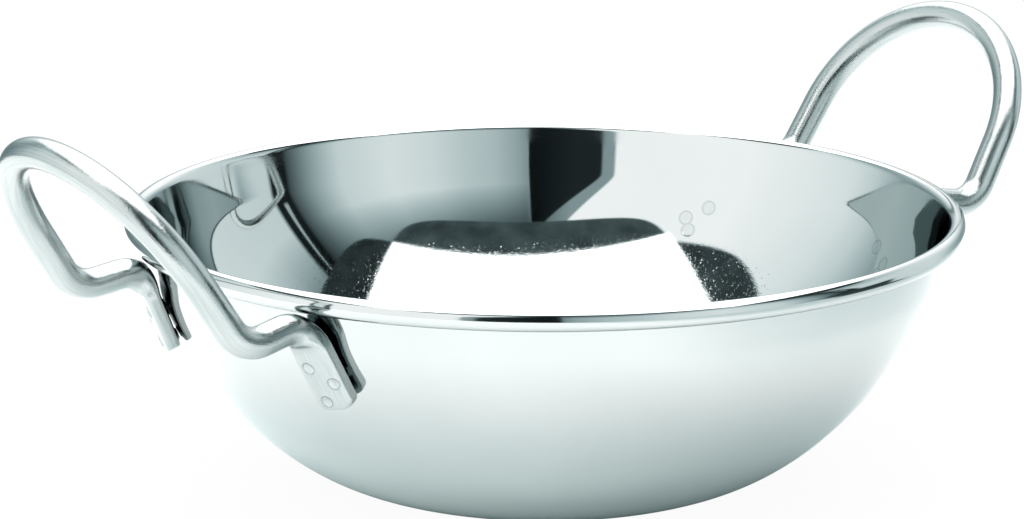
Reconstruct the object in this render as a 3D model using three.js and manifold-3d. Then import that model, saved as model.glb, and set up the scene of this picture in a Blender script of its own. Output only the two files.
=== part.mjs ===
// Balti dish of stainless steel: a round-bottomed bowl pressed from sheet, its edge rolled outwards into a
// bead, and two loop handles of bent round rod. The ends of each rod are flattened into feet, which stand
// against the outside of the wall just under the bead and are spot welded to it.
// Millimetres, +Z up. The origin is the middle of the flat base, and the handles lie on +X and -X.

import * as THREE from "three";
import { mergeVertices } from "three/addons/utils/BufferGeometryUtils.js";
import Module from "manifold-3d";

const wasm = await Module();
wasm.setup();

// Bowl
const RIM_DIAMETER = 170; // outside of the rolled bead
const BOWL_HEIGHT = 54.4; // from the table to the top of the bead
const BASE_DIAMETER = 70.8; // flat that the dish stands on
const SHEET = 0.8; // thickness of the steel
const WALL_LEAN = 13.5; // degrees from upright, in the straight band below the bead
const BAND_HEIGHT = 8.7; // straight band of the wall
const BASE_FULLNESS = 0.46; // how far the wall's curve holds to the table, as a share of its own reach
const BAND_FULLNESS = 0.35; // how far it holds to the straight band, as a share of its own height
const BEAD_WIDTH = 3.5; // rolled bead, from the inner wall to its outside
const BEAD_HEIGHT = 4.2; // rolled bead, from top to bottom
const BEAD_GAP = 0.4; // slot between the end of the roll and the wall

// Handles
const ROD = 6; // diameter of the round rod
const FOOT_WIDTH = 8.4; // flattened end, across
const FOOT_THICKNESS = 3.3; // flattened end, through
const FOOT_LENGTH = 12.6; // flattened end, along
const FOOT_TAPER = 5.5; // stretch in which the flat end turns into round rod
const FOOT_CORNER = 2; // rounding of the foot's two lower corners
const FOOT_POWER = 4.5; // squareness of the foot's section, where 2 is an ellipse
const FOOT_DROP = 16.1; // from the top of the bead down to the middle of the flat
const FOOT_SPREAD = 56; // between the middles of a handle's two feet
const FOOT_TILT = 14; // degrees between a foot and the upright line of the wall
const SEAT_CLEARANCE = 0.3; // between the wall and the back of a foot
const RIM_CLEARANCE = 0.5; // between the bead and the rod that passes below it
const CREST_BEND = 6; // radius of the bend below the bead, on the rod's axis
const RUN_REACH = 14; // outward distance from the bend below the bead to the lower bend
const RUN_FALL = 2.3; // drop over the same stretch
const TROUGH_SPREAD = 57; // between a handle's two lower bends
const TROUGH_BEND = 7.6; // radius of the lower bend, on the rod's axis
const LOOP_LENGTH = 41; // along the slope of the loop, from the lower bends to its top
const LOOP_RISE = 57; // degrees between the loop and the table
const ARCH_SPREAD = 52.4; // between the lines of the two legs, at the top of the loop

// Spot welds of a foot: up from the tip, and across its face to the side away from the handle's other foot
const WELDS = [
  { up: 2, across: -1.6 },
  { up: 5.5, across: 2.1 },
  { up: 8.9, across: -1.5 },
];
const WELD_DIAMETER = 2.6;
const WELD_CLEARANCE = 0.1; // between the wall and the nub of a weld
const DIMPLE_DEPTH = 0.3; // mark of the electrode in the outer face

// Facets
const BOWL_SIDES = 60;
const WALL_STEPS = 12;
const QUARTER_STEPS = 3; // in each quarter of the rolled bead
const ROD_SIDES = 14;
const CORNER_STEPS = 4;
const FLAT_STEPS = 3;
const BEND_STEPS = 6;
const ARCH_STEPS = 8; // in half of the arch
const WELD_SIDES = 12;

const POLISHED = { color: "#dfe4e3", roughness: 0.06, metalness: 1 };
const SATIN = { color: "#cfd5d4", roughness: 0.28, metalness: 1 };

const radians = THREE.MathUtils.degToRad;

function between(from, to, steps) {
  return Array.from({ length: steps + 1 }, (_, i) => from + ((to - from) * i) / steps);
}

// Where a function that is positive at one value and not at the other changes over
function crossing(f, positive, other) {
  let low = positive;
  let high = other;
  for (let i = 0; i < 50; i++) {
    const middle = (low + high) / 2;
    if (f(middle) > 0) {
      low = middle;
    } else {
      high = middle;
    }
  }
  return low;
}

// Rolled bead: a point of its oval section by angle, from the outside through the top, at a depth in the sheet
const beadRadius = (RIM_DIAMETER - BEAD_WIDTH) / 2;
const beadCentre = BOWL_HEIGHT - BEAD_HEIGHT / 2;

function rollPoint(angle, depth) {
  const cos = Math.cos(angle);
  const sin = Math.sin(angle);
  const normal = new THREE.Vector2(BEAD_HEIGHT * cos, BEAD_WIDTH * sin).normalize();
  return new THREE.Vector2(
    beadRadius + (BEAD_WIDTH / 2) * cos,
    beadCentre + (BEAD_HEIGHT / 2) * sin,
  ).addScaledVector(normal, -depth);
}

// The wall runs into the bead where the oval has the wall's own lean.
const leanSlope = Math.tan(radians(WALL_LEAN));
const rollStart = Math.PI - Math.atan((leanSlope * BEAD_HEIGHT) / BEAD_WIDTH);
const wallTop = rollPoint(rollStart, SHEET);

// Outside of the wall: one curve that leaves the flat base level and runs into the straight band. It is followed
// from 0 at the base to 1 at the band, and on to 2 at the bead.
const bandRise = new THREE.Vector2(leanSlope, 1).multiplyScalar(BAND_HEIGHT);
const bandFoot = wallTop.clone().sub(bandRise);
const wallCurve = new THREE.CubicBezierCurve(
  new THREE.Vector2(BASE_DIAMETER / 2, 0),
  new THREE.Vector2(THREE.MathUtils.lerp(BASE_DIAMETER / 2, bandFoot.x, BASE_FULLNESS), 0),
  bandFoot.clone().addScaledVector(new THREE.Vector2(leanSlope, 1), -BAND_FULLNESS * bandFoot.y),
  bandFoot,
);

function wallNormal(t) {
  const along = wallCurve.getTangent(Math.min(t, 1));
  return new THREE.Vector2(along.y, -along.x);
}

function wallPoint(t, outward) {
  return wallCurve
    .getPoint(Math.min(t, 1))
    .addScaledVector(bandRise, Math.max(t - 1, 0))
    .addScaledVector(wallNormal(t), outward);
}

// How far a place, given as radius and height, stands outside the wall
function distanceToWall(place) {
  const offset = (t) => place.clone().sub(wallPoint(t, 0));
  const nearest = crossing((t) => wallNormal(t).cross(offset(t)), 0, 2);
  return offset(nearest).dot(wallNormal(nearest));
}

function placeOf(point) {
  return new THREE.Vector2(Math.hypot(point.x, point.y), point.z);
}

// The bowl is one sheet turned about Z: up the outside, round the hollow of the roll, back over the bead and
// down the inside. The roll stops short of the wall, so its hollow stays open.
function bowlGeometry() {
  const rollEnd = crossing(
    (angle) => distanceToWall(rollPoint(angle, 0)) - BEAD_GAP,
    -Math.PI / 2,
    -Math.PI,
  );
  const wallTurns = [...between(0, 1, WALL_STEPS), 2];
  const rollTurns = [
    ...between(rollStart, Math.PI / 2, QUARTER_STEPS),
    ...between(Math.PI / 2, 0, QUARTER_STEPS).slice(1),
    ...between(0, -Math.PI / 2, QUARTER_STEPS).slice(1),
    rollEnd,
  ];
  const profile = [
    new THREE.Vector2(0, 0),
    ...wallTurns.map((t) => wallPoint(t, 0)),
    ...rollTurns.slice(1).map((angle) => rollPoint(angle, SHEET)),
    ...rollTurns.toReversed().map((angle) => rollPoint(angle, 0)),
    ...wallTurns.toReversed().slice(1).map((t) => wallPoint(t, -SHEET)),
    new THREE.Vector2(0, SHEET),
  ];
  return new THREE.LatheGeometry(profile, BOWL_SIDES).rotateX(Math.PI / 2);
}

// Foot of a handle: it stands off the wall along the wall's own normal, with its axis in the wall's slope.
function footFrame() {
  const height = BOWL_HEIGHT - FOOT_DROP;
  const t = crossing((u) => height - wallPoint(u, 0).y, 0, 2);
  const middle = wallPoint(t, SEAT_CLEARANCE + FOOT_THICKNESS / 2);
  const turn = Math.asin(FOOT_SPREAD / 2 / middle.x);
  const radial = new THREE.Vector3(Math.cos(turn), Math.sin(turn), 0);
  const round = new THREE.Vector3(-Math.sin(turn), Math.cos(turn), 0);
  const slope = wallNormal(t);
  const normal = radial.clone().multiplyScalar(slope.x).setZ(slope.y);
  const upright = radial.clone().multiplyScalar(-slope.y).setZ(slope.x);
  const axis = upright
    .multiplyScalar(Math.cos(radians(FOOT_TILT)))
    .addScaledVector(round, -Math.sin(radians(FOOT_TILT)));
  const across = new THREE.Vector3().crossVectors(axis, normal);
  const tip = radial
    .multiplyScalar(middle.x)
    .setZ(middle.y)
    .addScaledVector(axis, -FOOT_LENGTH / 2);
  return { normal, axis, across, tip };
}

// A round bend in the corner between two straight runs, as stations with a point and a direction
function bend([before, corner, after], radius, steps) {
  const into = corner.clone().sub(before).normalize();
  const out = after.clone().sub(corner).normalize();
  const turn = into.angleTo(out);
  const hinge = new THREE.Vector3().crossVectors(into, out).normalize();
  const arm = new THREE.Vector3().crossVectors(into, hinge).multiplyScalar(radius);
  const centre = corner
    .clone()
    .addScaledVector(into, -radius * Math.tan(turn / 2))
    .sub(arm);
  return between(0, turn, steps).map((angle) => ({
    point: arm.clone().applyAxisAngle(hinge, angle).add(centre),
    direction: into.clone().applyAxisAngle(hinge, angle),
  }));
}

// Corners of the rod's axis on one side, from the tip of the foot to the middle of the loop's top
function rodCorners(foot, crestRise) {
  const crest = foot.tip.clone().addScaledVector(foot.axis, crestRise);
  const trough = new THREE.Vector3(crest.x + RUN_REACH, TROUGH_SPREAD / 2, crest.z - RUN_FALL);
  const top = new THREE.Vector3(
    trough.x + LOOP_LENGTH * Math.cos(radians(LOOP_RISE)),
    ARCH_SPREAD / 2,
    trough.z + LOOP_LENGTH * Math.sin(radians(LOOP_RISE)),
  );
  return [foot.tip, crest, trough, top, top.clone().setY(0)];
}

// The bend below the bead lies as high on the wall as the clearance to the bead allows.
function highestCrest(foot) {
  const outline = between(Math.PI / 2, -Math.PI, 90).map((angle) => rollPoint(angle, 0));
  const spare = (crestRise) => {
    const crest = bend(rodCorners(foot, crestRise).slice(0, 3), CREST_BEND, 40);
    const gaps = crest.flatMap(({ point }) =>
      outline.map((edge) => edge.distanceTo(placeOf(point))),
    );
    return Math.min(...gaps) - ROD / 2 - RIM_CLEARANCE;
  };
  return crossing(spare, FOOT_LENGTH, 2 * FOOT_LENGTH);
}

// Stations of the straight foot, close together where its lower corners are rounded
function footStations(foot, bendStart) {
  const straight = bendStart.distanceTo(foot.tip);
  const rounding = between(0, Math.PI / 2, CORNER_STEPS).map(
    (angle) => FOOT_CORNER * (1 - Math.cos(angle)),
  );
  const flat = between(FOOT_CORNER, straight, FLAT_STEPS).slice(1, -1);
  return [...rounding, ...flat].map((along) => ({
    point: foot.tip.clone().addScaledVector(foot.axis, along),
    direction: foot.axis.clone(),
  }));
}

// Half of the rod's axis, from the tip of the foot to the middle of the loop. The last bend ends in the plane
// between the two feet, so that both halves together form one arch.
function halfAxis(foot) {
  const corners = rodCorners(foot, highestCrest(foot));
  const [, , trough, top, middle] = corners;
  const legTurn = top.clone().sub(trough).angleTo(middle.clone().sub(top));
  const archRadius = top.y / Math.tan(legTurn / 2);
  const crestBend = bend(corners.slice(0, 3), CREST_BEND, BEND_STEPS);
  return [
    ...footStations(foot, crestBend[0].point),
    ...crestBend,
    ...bend(corners.slice(1, 4), TROUGH_BEND, BEND_STEPS),
    ...bend(corners.slice(2, 5), archRadius, ARCH_STEPS),
  ];
}

// Section of the rod at a distance from the tip: half width, half thickness and squareness
function rodSection(along) {
  const round = THREE.MathUtils.smoothstep(along, FOOT_LENGTH, FOOT_LENGTH + FOOT_TAPER);
  const inset = Math.max(FOOT_CORNER - along, 0);
  const cut = FOOT_CORNER - Math.sqrt(FOOT_CORNER ** 2 - inset ** 2);
  return {
    width: THREE.MathUtils.lerp(FOOT_WIDTH / 2 - cut, ROD / 2, round),
    thickness: THREE.MathUtils.lerp(FOOT_THICKNESS / 2, ROD / 2, round),
    power: THREE.MathUtils.lerp(FOOT_POWER, 2, round),
  };
}

function sectionPoint({ width, thickness, power }, angle) {
  const squared = (value) => Math.sign(value) * Math.abs(value) ** (2 / power);
  return new THREE.Vector2(
    width * squared(Math.cos(angle)),
    thickness * squared(Math.sin(angle)),
  );
}

// Rings of points round half of the rod. The thickness direction is carried along the axis without twist.
function halfRings(foot) {
  const stations = halfAxis(foot);
  const normal = foot.normal.clone();
  let along = 0;
  return stations.map(({ point, direction }, i) => {
    if (i > 0) {
      const before = stations[i - 1];
      along += point.distanceTo(before.point);
      normal.applyQuaternion(
        new THREE.Quaternion().setFromUnitVectors(before.direction, direction),
      );
    }
    const across = new THREE.Vector3().crossVectors(normal, direction);
    const section = rodSection(along);
    return Array.from({ length: ROD_SIDES }, (_, k) => {
      const place = sectionPoint(section, (2 * Math.PI * k) / ROD_SIDES);
      return point
        .clone()
        .addScaledVector(across, place.x)
        .addScaledVector(normal, place.y);
    });
  });
}

// Closed skin over the rings of both halves, with a flat cap at each tip
function rodGeometry(foot) {
  const near = halfRings(foot);
  const far = near
    .slice(0, -1)
    .toReversed()
    .map((ring) => ring.map((p) => new THREE.Vector3(p.x, -p.y, p.z)));
  const rings = [...near, ...far];
  const last = rings.length - 1;
  const at = (ring, k) => ring * ROD_SIDES + (k % ROD_SIDES);
  const triangles = [];
  for (let ring = 0; ring < last; ring++) {
    for (let k = 0; k < ROD_SIDES; k++) {
      triangles.push(at(ring, k), at(ring, k + 1), at(ring + 1, k + 1));
      triangles.push(at(ring, k), at(ring + 1, k + 1), at(ring + 1, k));
    }
  }
  for (let k = 1; k + 1 < ROD_SIDES; k++) {
    triangles.push(at(0, 0), at(0, k + 1), at(0, k));
    triangles.push(at(last, 0), at(last, k), at(last, k + 1));
  }
  return new THREE.BufferGeometry().setFromPoints(rings.flat()).setIndex(triangles);
}

function solidOf(geometry) {
  const bare = geometry.clone();
  bare.deleteAttribute("normal");
  bare.deleteAttribute("uv");
  const merged = mergeVertices(bare, 1e-4);
  return new wasm.Manifold(
    new wasm.Mesh({
      numProp: 3,
      vertProperties: new Float32Array(merged.attributes.position.array),
      triVerts: new Uint32Array(merged.index.array),
    }),
  );
}

function geometryOf(solid) {
  const mesh = solid.getMesh();
  return new THREE.BufferGeometry()
    .setAttribute("position", new THREE.BufferAttribute(mesh.vertProperties, 3))
    .setIndex(new THREE.BufferAttribute(mesh.triVerts, 1));
}

// Nub of a weld, from inside the foot to just short of the wall
function nubGeometry(from, to) {
  const axis = to.clone().sub(from);
  const turn = new THREE.Quaternion().setFromUnitVectors(
    new THREE.Vector3(0, 1, 0),
    axis.clone().normalize(),
  );
  const radius = WELD_DIAMETER / 2;
  const middle = from.clone().lerp(to, 0.5);
  return new THREE.CylinderGeometry(radius, radius, axis.length(), WELD_SIDES)
    .applyQuaternion(turn)
    .translate(middle.x, middle.y, middle.z);
}

// Ball that presses the dimple of a weld into the outer face
function dimpleGeometry(radius, centre) {
  return new THREE.SphereGeometry(radius, 2 * WELD_SIDES, WELD_SIDES).translate(
    centre.x,
    centre.y,
    centre.z,
  );
}

// A handle is the bent rod with its spot welds: a nub behind each foot, and a dimple before it.
function handleGeometry() {
  const foot = footFrame();
  const ballRadius = ((WELD_DIAMETER / 2) ** 2 + DIMPLE_DEPTH ** 2) / (2 * DIMPLE_DEPTH);
  const ballRise = FOOT_THICKNESS / 2 + ballRadius - DIMPLE_DEPTH;
  let handle = solidOf(rodGeometry(foot));
  for (const weld of WELDS) {
    const centre = foot.tip
      .clone()
      .addScaledVector(foot.axis, weld.up)
      .addScaledVector(foot.across, weld.across);
    const reach = distanceToWall(placeOf(centre)) - WELD_CLEARANCE;
    const end = centre.clone().addScaledVector(foot.normal, -reach);
    const ball = centre.clone().addScaledVector(foot.normal, ballRise);
    for (const side of [1, -1]) {
      const mirror = new THREE.Vector3(1, side, 1);
      const [from, to, dent] = [centre, end, ball].map((p) => p.clone().multiply(mirror));
      handle = handle.add(solidOf(nubGeometry(from, to)));
      handle = handle.subtract(solidOf(dimpleGeometry(ballRadius, dent)));
    }
  }
  return geometryOf(handle);
}

function part(name, geometry, finish) {
  const mesh = new THREE.Mesh(geometry, new THREE.MeshStandardMaterial(finish));
  mesh.name = name;
  return mesh;
}

const handle = handleGeometry();
const rightHandle = part("handle_right", handle, SATIN);
const leftHandle = part("handle_left", handle.clone(), SATIN);
leftHandle.rotation.z = Math.PI;

const dish = new THREE.Group();
dish.name = "balti_dish";
dish.add(part("bowl", bowlGeometry(), POLISHED), rightHandle, leftHandle);

export default dish;
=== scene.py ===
"""Looks of a balti dish of stainless steel: a mirror-polished bowl and two satin loop handles in a light tent.

Sizes are millimetres in the part's own frame, +Z up, and become metres where a mesh is made.
"""

from __future__ import annotations

import logging
import math
from dataclasses import dataclass, field
from enum import Enum
from typing import Any

import bpy
import numpy as np
from mathutils import Matrix


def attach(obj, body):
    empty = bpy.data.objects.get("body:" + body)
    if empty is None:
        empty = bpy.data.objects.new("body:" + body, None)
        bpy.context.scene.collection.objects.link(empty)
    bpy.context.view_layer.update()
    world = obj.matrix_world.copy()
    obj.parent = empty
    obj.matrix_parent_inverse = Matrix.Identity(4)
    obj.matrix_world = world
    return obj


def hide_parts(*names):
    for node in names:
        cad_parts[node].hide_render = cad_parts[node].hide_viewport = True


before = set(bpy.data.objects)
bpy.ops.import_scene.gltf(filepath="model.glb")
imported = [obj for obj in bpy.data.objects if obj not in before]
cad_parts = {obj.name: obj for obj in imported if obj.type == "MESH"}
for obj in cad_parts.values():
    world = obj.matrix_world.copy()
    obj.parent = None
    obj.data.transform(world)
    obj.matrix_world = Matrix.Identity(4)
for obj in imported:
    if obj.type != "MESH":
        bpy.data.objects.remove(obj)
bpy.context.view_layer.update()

MM = 0.001
PICTURE_WIDTH = 1024
SMOOTH = {"interpolation_type": "SMOOTHSTEP"}

Array = np.ndarray
Tree = bpy.types.NodeTree
Socket = bpy.types.NodeSocket

log = logging.getLogger("balti_dish")


class Slot(Enum):
    """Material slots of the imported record."""

    POLISHED = "polished_steel"
    DRAWN = "drawn_steel"


class Side(Enum):
    """Side of the bowl that a handle is on, as the sign of X."""

    RIGHT = 1
    LEFT = -1


def linear(colour: str) -> tuple[float, float, float, float]:
    """Turn an sRGB hex colour into linear light.

    Args:
        colour: The colour as "#rrggbb".

    Returns:
        Red, green and blue from 0 to 1, and an alpha of 1.
    """
    share = np.array([int(colour[i : i + 2], 16) for i in (1, 3, 5)]) / 255
    light = np.where(share <= 0.04045, share / 12.92, ((share + 0.055) / 1.055) ** 2.4)
    return (*light.tolist(), 1.0)


def add(
    tree: Tree, kind: str, sockets: dict[Any, Any] | tuple[Any, ...] = (), output: int | str = 0, **settings: Any
) -> Socket:
    """Add a node, set its options, and fill its input sockets.

    Args:
        tree: The node tree that the node goes into.
        kind: Blender's type name of the node without "ShaderNode", and its operation after a space, if it has one.
        sockets: Values or output sockets for the inputs in order, or by name or number.
        output: Output socket that is wanted, by name or number.
        **settings: Options of the node itself.

    Returns:
        The output socket, or the first input of a node without outputs.
    """
    kind, _, operation = kind.partition(" ")
    node = tree.nodes.new("ShaderNode" + kind)
    if operation:
        node.operation = operation
    for key, value in settings.items():
        setattr(node, key, value)
    for key, value in sockets.items() if isinstance(sockets, dict) else enumerate(sockets):
        if isinstance(value, Socket):
            tree.links.new(value, node.inputs[key])
        else:
            node.inputs[key].default_value = value
    return node.outputs[output] if node.outputs else node.inputs[0]


def blank(name: str) -> tuple[bpy.types.Material, Tree]:
    """Make a material with an empty node tree."""
    made = bpy.data.materials.new(name)
    made.use_nodes = True
    made.node_tree.nodes.clear()
    return made, made.node_tree


def unit(vectors: Array) -> Array:
    """Scale vectors along the last axis to length 1."""
    return vectors / np.linalg.norm(vectors, axis=-1, keepdims=True)


def turned(vector: Array, axis: Array, angles: Array) -> Array:
    """Turn one vector about an axis by many angles, with Rodrigues' formula.

    Args:
        vector: The vector to turn.
        axis: Unit vector of the axis.
        angles: Angles in radians.

    Returns:
        One turned vector for each angle.
    """
    cos, sin = np.cos(angles)[:, None], np.sin(angles)[:, None]
    return vector * cos + np.cross(axis, vector) * sin + axis * (vector @ axis) * (1 - cos)


def smoothstep(values: Array, low: float, high: float) -> Array:
    """Rise from 0 at low to 1 at high, level at both ends."""
    share = np.clip((values - low) / (high - low), 0, 1)
    return share * share * (3 - 2 * share)


def ring_surface(name: str, rings: Array, first: Array, last: Array) -> bpy.types.Object:
    """Make a closed piece from rings of points: quads between neighbouring rings, and a fan to a pole at each end.

    Args:
        name: Name of the piece.
        rings: Points in millimetres, by ring, then round the ring, counterclockwise as seen from the last ring.
        first: Pole that closes the first ring.
        last: Pole that closes the last ring.

    Returns:
        The new object, with smooth faces that point outwards.
    """
    rows, columns = rings.shape[:2]
    here = np.arange(columns)
    after = (here + 1) % columns
    low = np.arange(rows - 1)[:, None] * columns
    quads = np.stack([low + here, low + after, low + columns + after, low + columns + here], axis=-1).reshape(-1, 4)
    start, end = rows * columns, rows * columns + 1
    top = start - columns
    round_poles = (np.repeat([start, end], columns), np.append(after, here + top), np.append(here, after + top))
    fans = np.stack(round_poles, axis=-1)
    points = np.concatenate([rings.reshape(-1, 3), first[None], last[None]]) * MM
    mesh = bpy.data.meshes.new(name)
    mesh.from_pydata(points.tolist(), [], quads.tolist() + fans.tolist(), shade_flat=False)
    mesh.validate()
    piece = bpy.data.objects.new(name, mesh)
    bpy.context.scene.collection.objects.link(piece)
    log.info("%s: %d points, %d faces", name, len(points), len(quads) + len(fans))
    return piece


@dataclass(frozen=True)
class PolishedSteel:
    """Mirror-polished stainless sheet.

    Pressed and buffed sheet gives the eye a clear, slightly cool mirror. Buffing as the bowl turns leaves a fine
    grain, coarser at the bottom, which frays the edges of what is mirrored. Pits glint where the mirror is dark, use
    leaves hairline scratches, and each spot weld shows through from outside as a faint ring.

    Grain, pits and specks are really finer, and are drawn as coarse as they need to be to show.
    """

    bright: str = "#dde2e1"
    dull: str = "#d2d9d8"
    mark: str = "#bcc6c5"
    tone_size: float = 26.0
    roughness: float = 0.035
    bottom_roughness: float = 0.045
    bead_roughness: float = 0.075
    bottom_heights: tuple[float, float] = (22.0, 36.0)
    bead_heights: tuple[float, float] = (49.5, 51.5)
    wall_share: float = 0.02
    bead_share: float = 0.2
    ripple_size: float = 9.0
    ripple_height: float = 0.0015
    grain_width: float = 0.75
    grain_length: float = 1.3
    grain_height: float = 0.0065
    grain_radius: float = 60.0
    scratch_size: tuple[float, float, float] = (14.0, 0.48, 9.0)
    scratch_span: tuple[float, float] = (0.72, 0.78)
    scratch_depth: float = 0.0003
    scratch_roughness: float = 0.025
    pit_spacing: float = 1.3
    pit_span: tuple[float, float] = (0.05, 0.15)
    pit_depth: float = 0.009
    pit_heights: tuple[float, float] = (28.0, 31.5)
    speck: float = 0.6
    speck_span: tuple[float, float] = (0.57, 0.68)
    speck_roughness: float = 0.14
    weld_ring: float = 1.5
    ring_width: float = 0.36
    ring_height: float = 0.01
    ring_mottle: float = 0.8
    mark_turn: float = 3.7

    def grain(self, tree: Tree, place: Socket) -> Socket:
        """Grain of buffing: noise by radius and height, and by direction from the axis, which it crosses slower.

        Args:
            tree: The node tree.
            place: Place in the bowl's own frame.

        Returns:
            Height of the grain, from 0 to 1.
        """
        parts = add(tree, "SeparateXYZ", (place,)).node.outputs
        flat = add(tree, "CombineXYZ", (parts["X"], parts["Y"]))
        radius = add(tree, "VectorMath LENGTH", (flat,), "Value")
        heading = add(tree, "VectorMath NORMALIZE", (flat,))
        fine, slow = 1 / (self.grain_width * MM), self.grain_radius / self.grain_length
        lifted = add(tree, "CombineXYZ", {2: parts["Z"]})
        lifted = add(tree, "VectorMath SCALE", {0: lifted, "Scale": fine})
        spun = add(tree, "VectorMath MULTIPLY_ADD", (heading, (slow, slow, slow), lifted))
        depth = add(tree, "Math MULTIPLY", (radius, fine))
        noise = {"Vector": spun, "W": depth, "Scale": 1.0, "Detail": 3.0, "Roughness": 0.65}
        return add(tree, "TexNoise", noise, noise_dimensions="4D")

    def scratches(self, tree: Tree, place: Socket) -> Socket:
        """Hairlines in three directions: the peaks of noise that is stretched along each.

        Args:
            tree: The node tree.
            place: Place in the bowl's own frame.

        Returns:
            Mask of the hairlines.
        """
        scale = tuple(1 / (size * MM) for size in self.scratch_size)
        marks = None
        for turn in ((0.3, 0.2, 0.5), (1.1, -0.4, 2.1), (-0.6, 0.9, 1.2)):
            lane = add(tree, "Mapping", {"Vector": place, "Rotation": turn, "Scale": scale})
            line = add(tree, "TexNoise", {"Vector": lane, "Scale": 1.0, "Detail": 1.0})
            line = add(tree, "MapRange", (line, *self.scratch_span))
            marks = line if marks is None else add(tree, "Math MAXIMUM", (marks, line))
        return marks

    def rings(self, tree: Tree, place: Socket, welds: Array) -> Socket:
        """Rings round the welds, by distance from each, with a mottled middle.

        All four feet have the same marks, mirrored. Those of the right handle sit a little further round.

        Args:
            tree: The node tree.
            place: Place in the bowl's own frame.
            welds: Middle of each weld's mark on the inside of the wall, for one foot, in millimetres.

        Returns:
            Height of the rings, from 0 to 1.
        """
        right = add(tree, "Math GREATER_THAN", (add(tree, "SeparateXYZ", (place,)), 0.0))
        back = add(tree, "Math MULTIPLY", (right, -math.radians(self.mark_turn)))
        folded = add(tree, "VectorRotate", {"Vector": place, "Angle": back}, rotation_type="Z_AXIS")
        folded = add(tree, "VectorMath ABSOLUTE", (folded,))
        mottle = add(tree, "TexNoise", {"Vector": place, "Scale": 1 / (self.ring_mottle * MM), "Detail": 2.0})
        radius = self.weld_ring * MM
        rings = None
        for weld in welds:
            away = add(tree, "VectorMath DISTANCE", (folded, (weld * MM).tolist()), "Value")
            off = add(tree, "Math ABSOLUTE", (add(tree, "Math SUBTRACT", (away, radius)),))
            ring = add(tree, "MapRange", (off, 0.0, self.ring_width * MM, 1.0, 0.0), **SMOOTH)
            within = add(tree, "MapRange", (away, 0.8 * radius, radius, 0.6, 0.0))
            ring = add(tree, "Math MULTIPLY_ADD", (within, mottle, ring))
            rings = ring if rings is None else add(tree, "Math MAXIMUM", (rings, ring))
        return rings

    def material(self, welds: Array) -> bpy.types.Material:
        """Build the material.

        Args:
            welds: Middle of each weld's mark on the inside of the wall, for one foot, in millimetres.

        Returns:
            The material, on Object coordinates.
        """
        made, tree = blank("mirror_polished_stainless_steel")
        place = add(tree, "TexCoord", output="Object")
        height = add(tree, "Math DIVIDE", (add(tree, "SeparateXYZ", (place,), "Z"), MM))
        # The grain is coarsest on the round bottom and finer up the wall.
        bottom = add(tree, "MapRange", (height, *self.bottom_heights, 1.0, self.wall_share), **SMOOTH)
        bead = add(tree, "MapRange", (height, *self.bead_heights))
        strength = add(tree, "Math MULTIPLY_ADD", (bead, self.bead_share, bottom))
        grain = add(tree, "Math MULTIPLY", (self.grain(tree, place), strength))
        ripple = add(tree, "TexNoise", {"Vector": place, "Scale": 1 / (self.ripple_size * MM), "Detail": 1.0})
        scratches = self.scratches(tree, place)
        rings = self.rings(tree, place, welds)
        # Pits are where the surface cuts close to the middle of a cell.
        cells = add(tree, "TexVoronoi", {"Vector": place, "Scale": 1 / (self.pit_spacing * MM)}, "Distance")
        pits = add(tree, "MapRange", (cells, *self.pit_span, 1.0, 0.0))
        pitted = add(tree, "MapRange", (height, *self.pit_heights, 1.0, 0.0), **SMOOTH)
        pits = add(tree, "Math MULTIPLY", (pits, pitted))
        # Specks too small to have a shape are rough, and gather light from all round.
        specks = add(tree, "TexNoise", {"Vector": place, "Scale": 1 / (self.speck * MM), "Detail": 2.0})
        specks = add(tree, "Math MULTIPLY", (add(tree, "MapRange", (specks, *self.speck_span)), bottom))
        normal = add(tree, "Bump", {"Height": ripple, "Distance": self.ripple_height * MM})
        for marks, size, inwards in (
            (grain, self.grain_height, False),
            (pits, self.pit_depth, True),
            (scratches, self.scratch_depth, False),
            (rings, self.ring_height, False),
        ):
            normal = add(tree, "Bump", {"Height": marks, "Distance": size * MM, "Normal": normal}, invert=inwards)
        rough = add(tree, "MapRange", (bottom, self.wall_share, 1.0, self.roughness, self.bottom_roughness))
        rough = add(tree, "Mix", {0: bead, 2: rough, 3: self.bead_roughness})
        for marks, more in ((scratches, self.scratch_roughness), (specks, self.speck_roughness)):
            rough = add(tree, "Math MULTIPLY_ADD", (marks, more, rough))
        tone = add(tree, "TexNoise", {"Vector": place, "Scale": 1 / (self.tone_size * MM), "Detail": 3.0})
        colour = linear(self.dull)
        for share, other in ((tone, self.bright), (rings, self.mark)):
            colour = add(tree, "Mix", {0: share, 6: colour, 7: linear(other)}, 2, data_type="RGBA")
        steel = {"Base Color": colour, "Metallic": 1.0, "Roughness": rough, "Normal": normal}
        add(tree, "OutputMaterial", (add(tree, "BsdfPrincipled", steel),))
        return made


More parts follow.
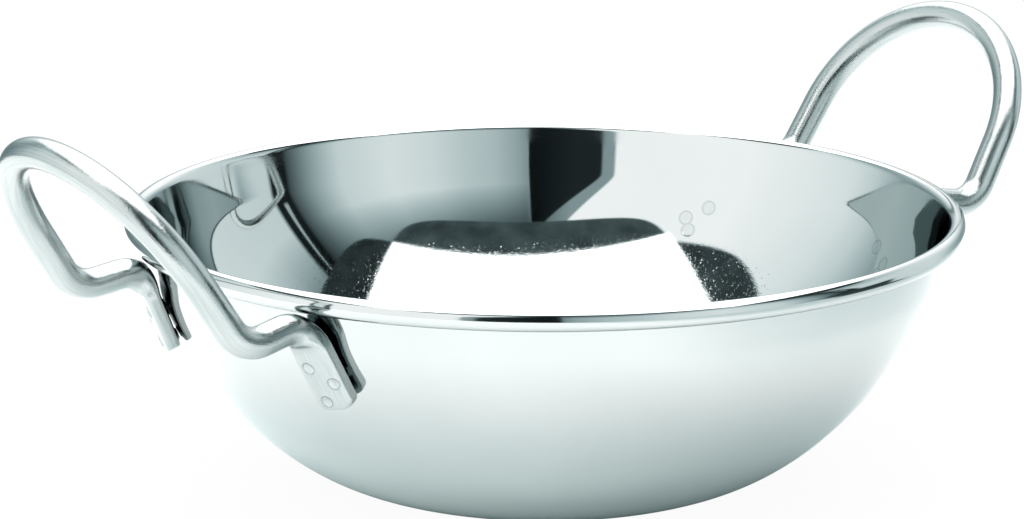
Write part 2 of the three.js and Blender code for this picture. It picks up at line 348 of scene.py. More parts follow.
@dataclass(frozen=True)
class DrawnSteel:
    """Drawn stainless rod with a satin surface.

    Rod pulled through a die gives the eye soft lengthwise bands of light and dark with ragged edges, from the die's
    fine lines, and bending and handling add small scuffs.
    """

    bright: str = "#dfe4e3"
    dull: str = "#a3b1b0"
    roughness: float = 0.09
    line_width: float = 0.4
    line_length: float = 12.0
    line_height: float = 0.03
    scuff: float = 0.5
    scuff_height: float = 0.045
    scuff_roughness: float = 0.12
    worn_span: tuple[float, float] = (0.52, 0.8)
    weld_ring: float = 1.25
    ring_width: float = 0.2
    ring_depth: float = 0.05
    ring_fray: float = 0.5
    ring_breaks: tuple[float, float] = (0.4, 0.5)
    ring_dark: float = 0.9

    def rings(self, tree: Tree, place: Socket, scuffs: Socket, welds: tuple[tuple[float, float], ...]) -> Socket:
        """Rings round the electrode's dimples, frayed and broken by the scuffs, on the outer face of the foot only.

        Args:
            tree: The node tree.
            place: Place across, through and along the rod.
            scuffs: Height of the scuffs.
            welds: Place of each spot weld, up from the tip and across to the foot's free side, in millimetres.

        Returns:
            Mask of the rings.
        """
        parts = add(tree, "SeparateXYZ", (place,)).node.outputs
        flat = add(tree, "CombineXYZ", {0: parts["X"], 2: parts["Z"]})
        radius = (self.weld_ring + self.ring_fray / 2) * MM
        rings = None
        for up, free in welds:
            away = add(tree, "VectorMath DISTANCE", (flat, (-free * MM, 0.0, up * MM)), "Value")
            away = add(tree, "Math MULTIPLY_ADD", (scuffs, self.ring_fray * MM, away))
            off = add(tree, "Math ABSOLUTE", (add(tree, "Math SUBTRACT", (away, radius)),))
            ring = add(tree, "MapRange", (off, 0.0, self.ring_width * MM, 1.0, 0.0))
            rings = ring if rings is None else add(tree, "Math MAXIMUM", (rings, ring))
        broken = add(tree, "MapRange", (scuffs, *self.ring_breaks))
        outer = add(tree, "Math GREATER_THAN", (parts["Y"], 0.5 * MM))
        return add(tree, "Math MULTIPLY", (rings, add(tree, "Math MULTIPLY", (broken, outer))))

    def material(self, welds: tuple[tuple[float, float], ...]) -> bpy.types.Material:
        """Build the material, which follows the rod through its attribute "rod": across, through and along it.

        Args:
            welds: Place of each spot weld, up from the tip and across to the foot's free side, in millimetres.

        Returns:
            The material.
        """
        made, tree = blank("satin_drawn_stainless_steel")
        place = add(tree, "Attribute", output="Vector", attribute_name="rod")
        width, length = 1 / (self.line_width * MM), 1 / (self.line_length * MM)
        stretched = add(tree, "VectorMath MULTIPLY", (place, (width, width, length)))
        lines = add(tree, "TexNoise", {"Vector": stretched, "Scale": 1.0, "Detail": 3.0, "Roughness": 0.65})
        noise = {"Vector": place, "Scale": 1 / (self.scuff * MM), "Detail": 4.0, "Roughness": 0.7}
        scuffs = add(tree, "TexNoise", noise)
        rings = self.rings(tree, place, scuffs, welds)
        normal = add(tree, "Bump", {"Height": lines, "Distance": self.line_height * MM})
        for marks, size, inwards in ((scuffs, self.scuff_height, False), (rings, self.ring_depth, True)):
            normal = add(tree, "Bump", {"Height": marks, "Distance": size * MM, "Normal": normal}, invert=inwards)
        rough = add(tree, "MapRange", (lines, 0.3, 0.7, self.roughness - 0.03, self.roughness + 0.05))
        worn = add(tree, "MapRange", (scuffs, *self.worn_span))
        rough = add(tree, "Math MULTIPLY_ADD", (worn, self.scuff_roughness, rough))
        tone = add(tree, "Math MULTIPLY_ADD", (rings, -self.ring_dark, lines), use_clamp=True)
        tones = {0: tone, 6: linear(self.dull), 7: linear(self.bright)}
        colour = add(tree, "Mix", tones, 2, data_type="RGBA")
        steel = {"Base Color": colour, "Metallic": 1.0, "Roughness": rough, "Normal": normal}
        add(tree, "OutputMaterial", (add(tree, "BsdfPrincipled", steel),))
        return made


@dataclass
class Bowl:
    """Bowl pressed from one sheet: flat base, one curve, a straight band, and an edge rolled outwards to a bead."""

    rim_diameter: float = 170.0
    height: float = 54.4
    base_diameter: float = 70.8
    sheet: float = 0.8
    wall_lean: float = 13.5
    band_height: float = 8.7
    base_fullness: float = 0.46
    band_fullness: float = 0.35
    bead_width: float = 3.5
    bead_height: float = 4.2
    bead_gap: float = 0.4
    sides: int = 320
    base_steps: int = 5
    curve_steps: int = 72
    band_steps: int = 12
    hidden_steps: int = 26
    roll_steps: int = 76
    lip_steps: int = 9
    finish: PolishedSteel = field(default_factory=PolishedSteel)

    def roll(self, angles: Array, depth: float) -> Array:
        """Points of the rolled bead: an oval by angle from its outside, moved into the sheet along its normal.

        Args:
            angles: Angles on the oval, from the outside through the top.
            depth: Depth below the outer face of the sheet.

        Returns:
            Radius and height of each point.
        """
        heading = np.stack([np.cos(angles), np.sin(angles)], axis=-1)
        half = np.array([self.bead_width, self.bead_height]) / 2
        middle = np.array([self.rim_diameter / 2, self.height]) - half
        return middle + half * heading - depth * unit(half[::-1] * heading)

    @property
    def slope(self) -> Array:
        """Direction of the straight band, by one millimetre of height."""
        return np.array([math.tan(math.radians(self.wall_lean)), 1.0])

    @property
    def roll_start(self) -> float:
        """Angle at which the oval of the bead has the wall's own lean."""
        return math.pi - math.atan(self.slope[0] * self.bead_height / self.bead_width)

    @property
    def wall_top(self) -> Array:
        """Radius and height at which the outside of the wall runs into the bead."""
        return self.roll(np.array([self.roll_start]), self.sheet)[0]

    def wall(self, t: Array, outward: float) -> tuple[Array, Array]:
        """Outside of the wall: a cubic curve from the base at 0 to the band at 1, and straight on to the bead at 2.

        Args:
            t: Places along the wall.
            outward: Distance from the outside of the wall, along its normal.

        Returns:
            Radius and height of each place, and the normal there.
        """
        foot = self.wall_top - self.band_height * self.slope
        start = np.array([self.base_diameter / 2, 0.0])
        level = np.array([start[0] + self.base_fullness * (foot[0] - start[0]), 0.0])
        rising = foot - self.band_fullness * foot[1] * self.slope
        u = np.minimum(t, 1)[:, None]
        v = 1 - u
        curve = v**3 * start + 3 * u * v**2 * level + 3 * u**2 * v * rising + u**3 * foot
        along = unit(v**2 * (level - start) + 2 * u * v * (rising - level) + u**2 * (foot - rising))
        normal = np.stack([along[:, 1], -along[:, 0]], axis=-1)
        straight = np.maximum(t - 1, 0)[:, None] * self.band_height * self.slope
        return curve + straight + outward * normal, normal

    def roll_end(self) -> float:
        """Angle at which the roll comes to within its gap of the wall."""
        angles = np.linspace(-math.pi / 2, -math.pi, 400)
        outward = unit(np.array([self.slope[1], -self.slope[0]]))
        gaps = (self.roll(angles, 0) - self.wall_top) @ outward
        return float(np.interp(-self.bead_gap, -gaps, angles))

    def profile(self) -> Array:
        """Section of the sheet: along the base, up the outside, round the roll, and down the inside to the middle.

        Returns:
            Radius and height of each point of the section.
        """
        base = np.linspace(0.2, 0.98, self.base_steps) * self.base_diameter / 2
        t = np.concatenate([np.linspace(0, 1, self.curve_steps), np.linspace(1, 2, self.band_steps)[1:]])
        end = self.roll_end()
        hidden = np.linspace(self.roll_start, end, self.hidden_steps)[1:]
        shown = np.linspace(end, self.roll_start, self.roll_steps)
        lip = self.roll(np.array([end]), self.sheet / 2)[0]
        edge = self.roll(np.array([end]), 0)[0] - lip
        onward = np.array([edge[1], -edge[0]])
        swing = np.linspace(math.pi, 0, self.lip_steps)[1:-1, None]
        return np.concatenate(
            [
                np.stack([base, np.zeros_like(base)], axis=-1),
                self.wall(t, 0)[0],
                self.roll(hidden, self.sheet),
                lip + edge * np.cos(swing) + onward * np.sin(swing),
                self.roll(shown, 0),
                self.wall(t[::-1], -self.sheet)[0][1:],
                np.stack([base[::-1], np.full_like(base, self.sheet)], axis=-1),
            ]
        )

    def build(self) -> bpy.types.Object:
        """Turn the section about Z, and close it at the middle of the base, below and above the sheet."""
        section = self.profile()
        angles = np.linspace(0, 2 * math.pi, self.sides, endpoint=False)
        radius, height = section[:, 0, None], section[:, 1, None]
        rings = np.stack([radius * np.cos(angles), radius * np.sin(angles), height + 0 * angles], axis=-1)
        return ring_surface("polished_bowl", rings, np.zeros(3), np.array([0.0, 0.0, self.sheet]))

    def dress(self, piece: bpy.types.Object, welds: Array) -> None:
        """Give the bowl its finish and its place in the frame.

        Args:
            piece: The bowl.
            welds: Middle of each spot weld of one foot on the inside of the wall.
        """
        piece.data.materials.append(self.finish.material(welds))
        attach(piece, "root")
        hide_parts("bowl")


@dataclass
class Handle:
    """Loop of bent round rod, whose flattened ends stand on the wall under the bead."""

    bowl: Bowl
    side: Side
    rod: float = 6.0
    foot_width: float = 8.4
    foot_thickness: float = 3.3
    foot_length: float = 12.6
    foot_taper: float = 5.5
    foot_corner: float = 2.0
    foot_power: float = 4.5
    foot_edge: float = 0.4
    foot_drop: float = 16.1
    foot_spread: float = 56.0
    foot_tilt: float = 14.0
    seat_clearance: float = 0.3
    rim_clearance: float = 0.5
    crest_bend: float = 6.0
    run_reach: float = 14.0
    run_fall: float = 2.3
    trough_spread: float = 57.0
    trough_bend: float = 7.6
    loop_length: float = 40.9
    loop_rise: float = 57.0
    arch_spread: float = 52.4
    welds: tuple[tuple[float, float], ...] = ((2.0, -1.2), (5.8, 2.4), (9.6, -1.6))
    marks: tuple[tuple[float, float], ...] = ((0.1, 0.2), (2.5, 1.9), (6.4, -2.3))
    weld_diameter: float = 2.6
    weld_clearance: float = 0.1
    dimple_depth: float = 0.3
    around: int = 120
    tip_closing: tuple[float, ...] = (0.25, 0.6, 0.9, 1.0)
    edge_steps: int = 6
    foot_steps: int = 70
    run_steps: int = 14
    crest_steps: int = 44
    trough_steps: int = 36
    arch_steps: int = 90
    finish: DrawnSteel = field(default_factory=DrawnSteel)

    def foot(self) -> tuple[Array, ...]:
        """Frame of the foot on the +Y side of the right handle, which stands off the wall along the wall's normal.

        Returns:
            Tip of the foot on its middle line, its axis, its outward normal, and the way across to its free side.
        """
        t = np.linspace(0, 2, 4001)
        wall, normals = self.bowl.wall(t, 0)
        k = int(np.argmax(wall[:, 1] >= self.bowl.height - self.foot_drop))
        out = normals[k]
        middle = wall[k] + (self.seat_clearance + self.foot_thickness / 2) * out
        turn = math.asin(self.foot_spread / 2 / middle[0])
        radial = np.array([math.cos(turn), math.sin(turn), 0.0])
        sideways = np.array([-math.sin(turn), math.cos(turn), 0.0])
        rise = np.array([0.0, 0.0, 1.0])
        normal = radial * out[0] + rise * out[1]
        tilt = math.radians(self.foot_tilt)
        axis = (rise * out[0] - radial * out[1]) * math.cos(tilt) - sideways * math.sin(tilt)
        tip = radial * middle[0] + rise * middle[1] - axis * self.foot_length / 2
        return tip, axis, normal, np.cross(axis, normal)

    def corners(self, crest_rise: float) -> Array:
        """Corners of the rod's axis, from the tip of the foot to the middle of the loop's top.

        Args:
            crest_rise: Distance from the tip up to the corner below the bead.

        Returns:
            The five corners.
        """
        tip, axis, _, _ = self.foot()
        crest = tip + axis * crest_rise
        trough = np.array([crest[0] + self.run_reach, self.trough_spread / 2, crest[2] - self.run_fall])
        slope = math.radians(self.loop_rise)
        leg = self.loop_length * np.array([math.cos(slope), 0.0, math.sin(slope)])
        top = trough * (1, 0, 1) + leg + (0, self.arch_spread / 2, 0)
        return np.stack([tip, crest, trough, top, top * (1, 0, 1)])

    @staticmethod
    def bend(corners: Array, radius: float, steps: int) -> tuple[Array, ...]:
        """Round bend in a corner: an arm of the bend's radius turns about the bend's own middle.

        Args:
            corners: The corner before, the corner itself and the corner after it.
            radius: Radius of the bend on the rod's axis.
            steps: Number of steps through the bend.

        Returns:
            Points of the bend, its hinge direction, and the angle turned at each point.
        """
        into, out = unit(corners[1] - corners[0]), unit(corners[2] - corners[1])
        turn = math.acos(float(into @ out))
        hinge = unit(np.cross(into, out))
        arm = np.cross(into, hinge) * radius
        centre = corners[1] - into * radius * math.tan(turn / 2) - arm
        angles = np.linspace(0, turn, steps + 1)
        return centre + turned(arm, hinge, angles), hinge, angles

    def crest_rise(self) -> float:
        """Height of the corner below the bead, as far up the wall as the clearance to the bead allows."""
        outline = self.bowl.roll(np.linspace(math.pi / 2, -math.pi, 91), 0)
        low, high = self.foot_length, 2 * self.foot_length
        for _ in range(40):
            middle = (low + high) / 2
            points, _, _ = self.bend(self.corners(middle)[:3], self.crest_bend, 40)
            places = np.stack([np.hypot(points[:, 0], points[:, 1]), points[:, 2]], axis=-1)
            gap = np.linalg.norm(places[:, None] - outline, axis=-1).min()
            low, high = (middle, high) if gap > self.rod / 2 + self.rim_clearance else (low, middle)
        return low

    def axis_line(self) -> tuple[Array, ...]:
        """Half of the rod's axis, from the tip to the middle of the loop, with a normal that turns with each bend.

        Returns:
            Points, directions and normals of the half axis.
        """
        corners = self.corners(self.crest_rise())
        _, axis, normal, _ = self.foot()
        leg_turn = math.acos(float(unit(corners[3] - corners[2]) @ unit(corners[4] - corners[3])))
        arch_bend = corners[3][1] / math.tan(leg_turn / 2)
        tip_steps = np.concatenate(
            [
                np.zeros(len(self.tip_closing)),
                np.linspace(0, self.foot_edge, self.edge_steps)[1:],
                np.linspace(self.foot_edge, self.foot_length + self.foot_edge, self.foot_steps)[1:],
            ]
        )
        points = [corners[0] + tip_steps[:, None] * axis]
        directions = [np.tile(axis, (len(tip_steps), 1))]
        normals = [np.tile(normal, (len(tip_steps), 1))]
        direction = axis
        bends = (
            (self.crest_bend, self.crest_steps),
            (self.trough_bend, self.trough_steps),
            (arch_bend, self.arch_steps),
        )
        for number, (radius, steps) in enumerate(bends):
            curve, hinge, angles = self.bend(corners[number : number + 3], radius, steps)
            gap = np.linspace(0, 1, self.run_steps)[1:-1, None]
            run = points[-1][-1] + gap * (curve[0] - points[-1][-1])
            points += [run, curve]
            directions += [np.tile(direction, (len(run), 1)), turned(direction, hinge, angles)]
            normals += [np.tile(normal, (len(run), 1)), turned(normal, hinge, angles)]
            direction, normal = directions[-1][-1], normals[-1][-1]
        return np.concatenate(points), np.concatenate(directions), np.concatenate(normals)

    def section(self, along: Array) -> tuple[Array, Array]:
        """Section of the rod: a superellipse that goes from the pressed flat of the foot to the round rod.

        Args:
            along: Distance of each ring from the tip.

        Returns:
            For each ring and each point round it, the offsets across and through the rod.
        """
        round_share = smoothstep(along, self.foot_length, self.foot_length + self.foot_taper)[:, None]
        inset = np.maximum(self.foot_corner - along, 0)
        cut = self.foot_corner - np.sqrt(self.foot_corner**2 - inset**2)
        nib = np.maximum(self.foot_edge - along, 0)
        worn = self.foot_edge - np.sqrt(self.foot_edge**2 - nib**2)
        wide = (self.foot_width / 2 - cut - 0.5 * worn)[:, None] * (1 - round_share) + self.rod / 2 * round_share
        deep = (self.foot_thickness / 2 - worn)[:, None] * (1 - round_share) + self.rod / 2 * round_share
        power = self.foot_power * (1 - round_share) + 2 * round_share
        turn = np.linspace(0, 2 * math.pi, self.around, endpoint=False)
        squeezed = np.sqrt(deep / wide)
        sideways = np.broadcast_to(np.cos(turn), (len(along), self.around))
        heading = unit(np.stack([sideways, np.sin(turn) * squeezed], axis=-1))
        reach = (np.abs(heading[..., 0] / wide) ** power + np.abs(heading[..., 1] / deep) ** power) ** (-1 / power)
        return reach * heading[..., 0], reach * heading[..., 1]

    def weld_gap(self, up: float, across: float) -> float:
        """Distance from the middle of the foot to the wall behind a weld.

        Args:
            up: Place of the weld, up from the tip.
            across: Place of the weld, across to the free side.

        Returns:
            The distance in millimetres.
        """
        tip, axis, _, free = self.foot()
        centre = tip + axis * up + free * across
        wall, _ = self.bowl.wall(np.linspace(0.2, 2, 3000), 0)
        return float(np.linalg.norm(wall - (math.hypot(centre[0], centre[1]), centre[2]), axis=-1).min())

    def weld_marks(self) -> Array:
        """Middle of each mark that the welds of one foot leave on the inside of the wall."""
        tip, axis, normal, free = self.foot()
        return np.stack(
            [
                tip + axis * up + free * across - normal * (self.weld_gap(up, across) + self.bowl.sheet)
                for up, across in self.marks
            ]
        )

    def build(self) -> bpy.types.Object:
        """Sweep the section along both halves of the axis, with a dimple before and a nub behind each weld.

        Returns:
            The handle.
        """
        points, directions, normals = self.axis_line()
        along = np.concatenate([[0.0], np.cumsum(np.linalg.norm(np.diff(points, axis=0), axis=-1))])
        across, through = self.section(along)
        shrink = np.ones(len(along))
        shrink[: len(self.tip_closing)] = self.tip_closing
        across, through = across * shrink[:, None], through * shrink[:, None]
        for up, free in self.welds:
            away = np.hypot(along[:, None] - up, -across - free) / (self.weld_diameter / 2)
            dent = self.dimple_depth * (np.clip(1 - away**2, 0, None) - 0.25 * np.exp(-(((away - 1.1) / 0.16) ** 2)))
            nub = self.weld_gap(up, free) - self.weld_clearance - self.foot_thickness / 2
            swell = nub * (1 - smoothstep(away, 0.8, 1.05))
            face = smoothstep(np.abs(through), 0.8 * self.foot_thickness / 2, 0.95 * self.foot_thickness / 2)
            through = through - face * np.where(through > 0, dent, swell)
        sideways = np.cross(normals, directions)
        half = points[:, None] + across[..., None] * sideways[:, None] + through[..., None] * normals[:, None]
        rings = np.concatenate([half, half[-2::-1] * (1, -1, 1)]) * (self.side.value, self.side.value, 1)
        tips = np.stack([points[0], points[0] * (1, -1, 1)]) * (self.side.value, self.side.value, 1)
        piece = ring_surface(f"drawn_handle_{self.side.name.lower()}", rings, tips[0], tips[1])
        straight = np.stack([across, through, np.broadcast_to(along[:, None], across.shape)], axis=-1)
        laid = np.concatenate([straight.reshape(-1, 3), straight[-2::-1].reshape(-1, 3), np.zeros((2, 3))]) * MM
        lines = piece.data.attributes.new("rod", "FLOAT_VECTOR", "POINT")
        lines.data.foreach_set("vector", laid.astype(np.float32).ravel())
        return piece

    def dress(self, piece: bpy.types.Object) -> None:
        """Give the handle its finish and its place in the frame."""
        piece.data.materials.append(self.finish.material(self.welds))
        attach(piece, "root")
        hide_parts(f"handle_{self.side.name.lower()}")


@dataclass(frozen=True)
class Card:
    """Dark card beside the softbox: a rounded oblong on the level plane above, whose height is the unit of length."""

    middle: tuple[float, float]
    half_sizes: tuple[float, float]
    turn: float
    squareness: float
    level: float

    def mask(self, tree: Tree, place: Socket) -> Socket:
        """Mask of a superellipse: the powers of both coordinates, in half sizes, add up to less than 1 inside.

        Args:
            tree: The world's node tree.
            place: Where the ray meets the plane, across and away from the camera.

        Returns:
            The mask, 1 inside.
        """
        moved = add(tree, "VectorMath SUBTRACT", (place, (*self.middle, 0.0)))
        own = add(tree, "Mapping", {"Vector": moved, "Rotation": (0, 0, -self.turn), "Scale": (1.0, 1.0, 0.0)})
        shares = add(tree, "VectorMath DIVIDE", (own, (*self.half_sizes, 1.0)))
        sides = add(tree, "SeparateXYZ", (add(tree, "VectorMath ABSOLUTE", (shares,)),)).node.outputs
        powers = tuple(add(tree, "Math POWER", (sides[name], self.squareness)) for name in "XY")
        return add(tree, "MapRange", (add(tree, "Math ADD", powers), 1.07, 0.93), **SMOOTH)


@dataclass
class Studio:
    """Light tent on a pale table: a square softbox above, cloth panels round about, and a slot for the camera.

    Directions are degrees: across from the camera, to its right, and up from the table. The softbox and its cards
    are on a level plane above, across and away from the camera, with its height as the unit of length. Places on the
    table are millimetres, across and away from the camera.
    """

    camera_azimuth: float = -38.918
    camera_elevation: float = 13.869
    camera_roll: float = 0.061
    camera_distance: float = 743.97
    camera_offset: tuple[float, float] = (-6.545, 12.775)
    target_height: float = 30.0
    focal_pixels: float = 3640.28
    softbox_left: float = -0.855
    softbox_right: float = 0.912
    softbox_near: float = -0.775
    softbox_far: float = 2.1
    softbox_level: float = 2.4
    cards: tuple[Card, ...] = (
        Card((0.085, -0.7), (0.94, 0.4), 0.072, 3.63, 0.085),
        Card((-0.8, -0.162), (0.464, 0.594), 0.269, 1.6, 0.062),
        Card((0.9, -0.012), (0.395, 0.611), 0.199, 3.744, 0.037),
    )
    crease_size: float = 0.2
    slot_right: float = 4.3
    slot_left: float = -18.3
    slot_edge: float = -22.3
    slot_rise: float = 17.0
    rear_foot: float = 0.3
    upright_gap: float = 0.5
    upright_foot: float = 0.05
    dark_red: float = 0.69
    dark_blue: float = 1.06
    bounce_loss: float = 0.62
    table_radius: float = 340.0
    table_drop: float = 0.051
    # The near and the right colour of the table are painted shade: cooler and darker close to the dish, and dimmer to
    # the front right.
    floor_near_painted_shade: str = "#d9f1f1"
    floor_far: str = "#f9f9f9"
    floor_right_painted_shade: str = "#b9c3c3"
    floor_dark: str = "#3c4444"
    floor_white: float = 0.95
    wall_glow: float = 0.36
    panels: tuple[tuple[float, float], ...] = (
        *((-180, 1.4), (-165, 1.25), (-150, 0.8), (-140, 0.5), (-128, 0.45), (-115, 0.8), (-104, 0.98), (-85, 1.1)),
        *((-65, 1.21), (-10, 1.21), (4.3, 0.36), (8, 0.49), (15, 0.65), (25, 0.76), (35, 0.91), (48, 1.0), (65, 0.83)),
        *((75, 0.41), (79, 0.24), (83, 0.1), (84, 0.015), (90, 0.015), (91, 0.8), (125, 0.9), (140, 1.0), (155, 1.3)),
        (180, 1.4),
    )

    def camera(self) -> None:
        """Set up the camera at the photograph's viewing angle: turned about the target, then moved back from it."""
        data = bpy.data.cameras.new("camera")
        data.sensor_fit = "HORIZONTAL"
        data.sensor_width = 36.0
        data.lens = self.focal_pixels / PICTURE_WIDTH * data.sensor_width
        data.clip_start, data.clip_end = 0.01, 50.0
        camera = bpy.data.objects.new("camera", data)
        place = Matrix.Translation((0, 0, self.target_height * MM))
        for angle, axis in ((self.camera_azimuth, "Z"), (90 - self.camera_elevation, "X"), (self.camera_roll, "Z")):
            place = place @ Matrix.Rotation(math.radians(angle), 4, axis)
        back = [length * MM for length in (*self.camera_offset, self.camera_distance)]
        camera.matrix_world = place @ Matrix.Translation(back)
        bpy.context.scene.collection.objects.link(camera)
        bpy.context.scene.camera = camera

    def facing(self, tree: Tree, place: Socket) -> Socket:
        """Turn a place or direction about Z, so that its Y points away from the camera's side of the table."""
        return add(tree, "Mapping", {"Vector": place, "Rotation": (0, 0, -math.radians(self.camera_azimuth))})

    @staticmethod
    def inside(tree: Tree, edges: tuple[tuple[Any, Any, float, float, float], ...]) -> Socket:
        """Mask of a region with straight edges: the product of one soft step across each of its edges.

        Args:
            tree: The node tree.
            edges: For each edge, the value that crosses it, a second value and the share of it that is added, the
                place of the edge, and the width of the step, which is negative where the region lies below the edge.

        Returns:
            The mask, 1 inside.
        """
        mask = None
        for value, other, askew, edge, width in edges:
            crossing = add(tree, "Math MULTIPLY_ADD", (other, askew, value))
            step = add(tree, "MapRange", (crossing, edge, edge + width), **SMOOTH)
            mask = step if mask is None else add(tree, "Math MULTIPLY", (mask, step))
        return mask

    def cloth_of_table(self) -> bpy.types.Material:
        """Build the table's material: white to the camera with a faint shadow, and pale and matt to other rays, with
        painted shade near the dish and to the front right.

        Returns:
            The material.
        """
        made, tree = blank("pale_matt_table")
        place = self.facing(tree, add(tree, "TexCoord", output="Object"))
        place = add(tree, "VectorMath SCALE", {0: place, "Scale": 1 / MM})
        across, away, _ = add(tree, "SeparateXYZ", (place,)).node.outputs
        radius = add(tree, "VectorMath LENGTH", (place,), "Value")
        # Painted shade: the table turns cooler and darker close to the dish.
        outwards = add(tree, "MapRange", (radius, 40.0, 88.0))
        # The table is painted with shade, dimmer to the front right, and it is dark before the dark upright.
        right = self.inside(tree, ((across, away, -0.3, 70.0, 115.0),))
        ends = ((away, across, 0.0, -110.0, 30.0), (away, across, 0.0, 40.0, -30.0))
        dark = self.inside(tree, ((across, away, 0.0, 205.0, 40.0), *ends))
        colour = linear(self.floor_near_painted_shade)
        for mask, other in ((outwards, self.floor_far), (right, self.floor_right_painted_shade), (dark, self.floor_dark)):
            colour = add(tree, "Mix", {0: mask, 6: colour, 7: linear(other)}, 2, data_type="RGBA")
        matt = add(tree, "BsdfDiffuse", (colour,))
        # Light that the polished wall throws back on the table, most on its brighter left side.
        rear = add(tree, "Math MAXIMUM", (away, 0.0))
        lit = self.inside(tree, ((across, rear, -1.5, 105.0, -165.0), (radius, away, 0.0, 36.0, 24.0)))
        close = add(tree, "MapRange", (radius, 62.0, 145.0, self.wall_glow, 0.0))
        glow = add(tree, "Math MULTIPLY", (lit, close))
        matt = add(tree, "AddShader", (matt, add(tree, "Emission", {"Strength": glow})))
        # The camera sees an even table, white but for the shadow on it.
        path = add(tree, "LightPath").node.outputs
        even = add(tree, "BsdfDiffuse", (linear(self.floor_far),))
        matt = add(tree, "MixShader", (path["Is Camera Ray"], matt, even))
        seen = add(tree, "Math MULTIPLY", (path["Is Camera Ray"], self.floor_white))
        top = add(tree, "MixShader", (seen, matt, add(tree, "Emission", {"Strength": 1.0})))
        # From below the table is clear, and it is also clear to what such rays meet next.
        below = (add(tree, "NewGeometry", output="Backfacing"), path["Transparent Depth"])
        under = add(tree, "Math ADD", below, use_clamp=True)
        add(tree, "OutputMaterial", (add(tree, "MixShader", (under, top, add(tree, "BsdfTransparent"))),))
        return made

    def floor(self) -> None:
        """Lay the table: a round disc just under the base."""
        turn = np.linspace(0, 2 * math.pi, 128, endpoint=False)
        drop = np.full_like(turn, -self.table_drop)
        disc = np.stack([self.table_radius * np.cos(turn), self.table_radius * np.sin(turn), drop], axis=-1) * MM
        mesh = bpy.data.meshes.new("table")
        mesh.from_pydata(disc.tolist(), [], [list(range(len(disc)))])
        mesh.materials.append(self.cloth_of_table())
        table = bpy.data.objects.new("table", mesh)
        bpy.context.scene.collection.objects.link(table)

    def cloth(self, tree: Tree, away: Socket, rise: Socket, round_about: Socket) -> Socket:
        """Brightness of the cloth round about: one level by azimuth, with fades, the upright and the camera's slot.

        Args:
            tree: The world's node tree.
            away: Share of the ray that goes away from the camera.
            rise: Elevation of the ray, in degrees.
            round_about: Azimuth of the ray, in degrees.

        Returns:
            The brightness.
        """
        panel = add(tree, "ValToRGB", (add(tree, "MapRange", (round_about, -180.0, 180.0)),))
        stops = panel.node.color_ramp.elements
        while len(stops) > 1:
            stops.remove(stops[-1])
        for number, (azimuth, level) in enumerate(self.panels):
            stop = stops[0] if number == 0 else stops.new((azimuth + 180) / 360)
            stop.position = (azimuth + 180) / 360
            stop.color = (level, level, level, 1.0)
        # The right panel fades upwards. The cloth behind the dish is dimmer towards the table, which draws a thin
        # outline on rounded edges.
        start, end = (add(tree, "MapRange", (round_about, *ends)) for ends in ((0.0, 6.0), (140.0, 100.0)))
        right = add(tree, "Math MULTIPLY", (start, end))
        rear = self.inside(tree, ((away, rise, 0.0, 0.55, 0.35),))
        for where, fade in ((right, (24.0, 41.0, 1.0, 0.27)), (rear, (2.0, 20.0, self.rear_foot, 1.0))):
            faded = add(tree, "Mix", {0: where, 2: 1.0, 3: add(tree, "MapRange", (rise, *fade))})
            panel = add(tree, "Math MULTIPLY", (panel, faded))
        # A light gap splits the dark upright at the right, above its wider foot.
        gap = (
            (round_about, rise, -0.035, 85.5, 0.4),
            (round_about, rise, 0.012, 88.1, -0.4),
            (rise, round_about, 0.0, 12.5, 2.5),
        )
        foot = (
            (round_about, rise, 0.0, 76.0, 6.0),
            (round_about, rise, 0.0, 106.0, -4.0),
            (rise, round_about, 0.0, 6.5, -3.0),
        )
        for edges, level in ((gap, self.upright_gap), (foot, self.upright_foot)):
            panel = add(tree, "Mix", {0: self.inside(tree, edges), 2: panel, 3: level})
        # Slot for the camera: its left edge and a grey strip beside it curve to the right above.
        lift = add(tree, "Math MAXIMUM", (add(tree, "Math SUBTRACT", (rise, self.slot_rise)), 0.0))
        lift = add(tree, "Math POWER", (lift, 1.5))
        veils = []
        for edge, bend, left in ((self.slot_edge, -0.11, 0.31), (self.slot_left, -0.14, 0.06)):
            past = add(tree, "Math MULTIPLY_ADD", (lift, bend, round_about))
            veils.append(add(tree, "MapRange", (past, edge - 0.4, edge + 0.4, 1.0, left)))
        over = add(tree, "Math GREATER_THAN", (round_about, self.slot_right))
        cover = add(tree, "Math MAXIMUM", (add(tree, "Math MULTIPLY", tuple(veils)), over))
        return add(tree, "Math MULTIPLY", (panel, cover))

    def above(self, tree: Tree, parts: Any, level: Socket) -> Socket:
        """Hang the softbox and the dark cards beside three of its sides, with creases that make them uneven.

        Args:
            tree: The world's node tree.
            parts: The ray's shares across, away from the camera and up.
            level: Brightness of the cloth.

        Returns:
            The brightness with the softbox and the cards.
        """
        up = add(tree, "Math MAXIMUM", (parts["Z"], 0.001))
        sideways, away = (add(tree, "Math DIVIDE", (parts[name], up)) for name in "XY")
        plane = add(tree, "CombineXYZ", (sideways, away))
        creases = add(tree, "TexNoise", {"Vector": plane, "Scale": 1 / self.crease_size, "Detail": 2.0})
        creases = add(tree, "MapRange", (creases, 0.3, 0.7, 0.65, 1.35))
        for card in self.cards:
            dim = add(tree, "Math MULTIPLY", (creases, card.level))
            level = add(tree, "Mix", {0: card.mask(tree, plane), 2: level, 3: dim})
        # The softbox's edges stand a little askew, and its near edge is bowed.
        bowed = add(tree, "Math MULTIPLY", (sideways, sideways))
        bowed = add(tree, "Math MULTIPLY_ADD", (sideways, 1.8, bowed))
        box = self.inside(
            tree,
            (
                (sideways, away, -0.06, self.softbox_left, 0.03),
                (sideways, away, 0.18, self.softbox_right, -0.03),
                (away, bowed, -0.05, self.softbox_near, 0.03),
                (away, sideways, 0.0, self.softbox_far, -0.2),
            ),
        )
        return add(tree, "Mix", {0: box, 2: level, 3: self.softbox_level})

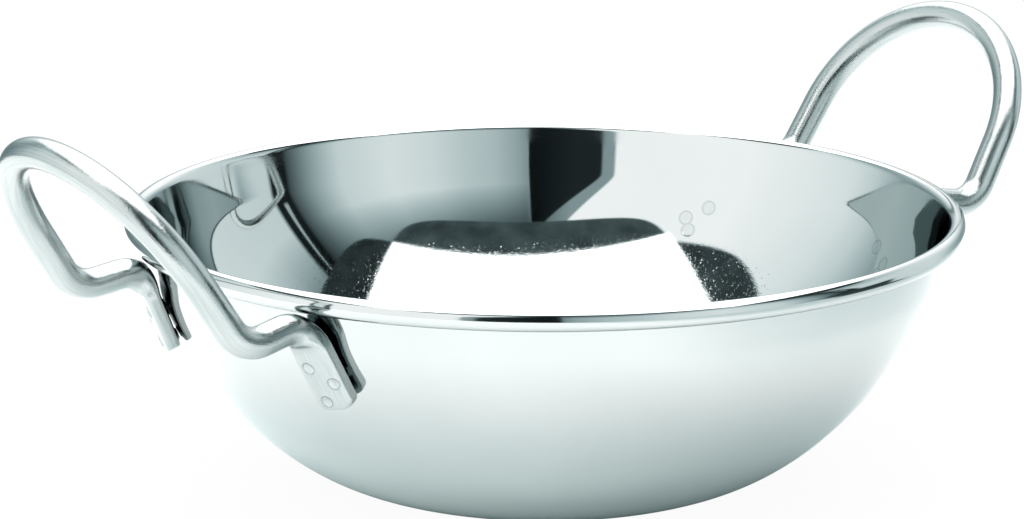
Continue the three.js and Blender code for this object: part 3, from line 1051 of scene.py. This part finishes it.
    def world(self) -> None:
        """Hang the tent as the world.

        The camera and clear rays see plain white. Mirror rays see the tent, whose cloth is about white too, because
        polished steel that mirrors plain white all round looks blank.
        """
        made = bpy.data.worlds.new("light_tent")
        made.use_nodes = True
        bpy.context.scene.world = made
        tree = made.node_tree
        tree.nodes.clear()
        ray = self.facing(tree, add(tree, "TexCoord", output="Generated"))
        parts = add(tree, "SeparateXYZ", (ray,)).node.outputs
        rise = add(tree, "Math DEGREES", (add(tree, "Math ARCSINE", (parts["Z"],)),))
        near = add(tree, "Math MULTIPLY", (parts["Y"], -1.0))
        round_about = add(tree, "Math DEGREES", (add(tree, "Math ARCTAN2", (parts["X"], near)),))
        level = self.above(tree, parts, self.cloth(tree, parts["Y"], rise, round_about))
        # From the second mirror bounce on, the wall of the bowl gives back less than its bright first bounce.
        path = add(tree, "LightPath").node.outputs
        more = add(tree, "Math SUBTRACT", (path["Glossy Depth"], 1.0))
        more = add(tree, "Math MAXIMUM", (more, 0.0))
        more = add(tree, "Math MULTIPLY", (more, more))
        loss = add(tree, "Math POWER", (self.bounce_loss, more))
        level = add(tree, "Math MULTIPLY", (level, loss))
        # Dim cloth looks cooler than bright cloth.
        red, blue = (
            add(tree, "MapRange", (level, 0.05, 1.2, share, 1.0)) for share in (self.dark_red, self.dark_blue)
        )
        tent = add(tree, "Background", (add(tree, "CombineColor", (red, 1.0, blue)), level))
        plain = add(tree, "Background", ((1.0, 1.0, 1.0, 1.0), 1.0))
        seen = add(tree, "Math MAXIMUM", (path["Is Camera Ray"], path["Is Transmission Ray"]))
        add(tree, "OutputWorld", (add(tree, "MixShader", (seen, tent, plain)),))

    def build(self) -> None:
        """Set up camera, table, tent and view."""
        bpy.context.scene.view_settings.view_transform = "Standard"
        self.camera()
        self.floor()
        self.world()
        log.info("studio: camera, table and light tent")


def main() -> None:
    """Build the dish and its studio, and note the size of the looks."""
    logging.basicConfig(level=logging.INFO, format="%(name)s: %(message)s")
    Studio().build()
    bowl = Bowl()
    handles = [Handle(bowl, side) for side in Side]
    bowl.dress(bowl.build(), handles[0].weld_marks())
    for handle in handles:
        handle.dress(handle.build())


if __name__ == "__main__":
    main()
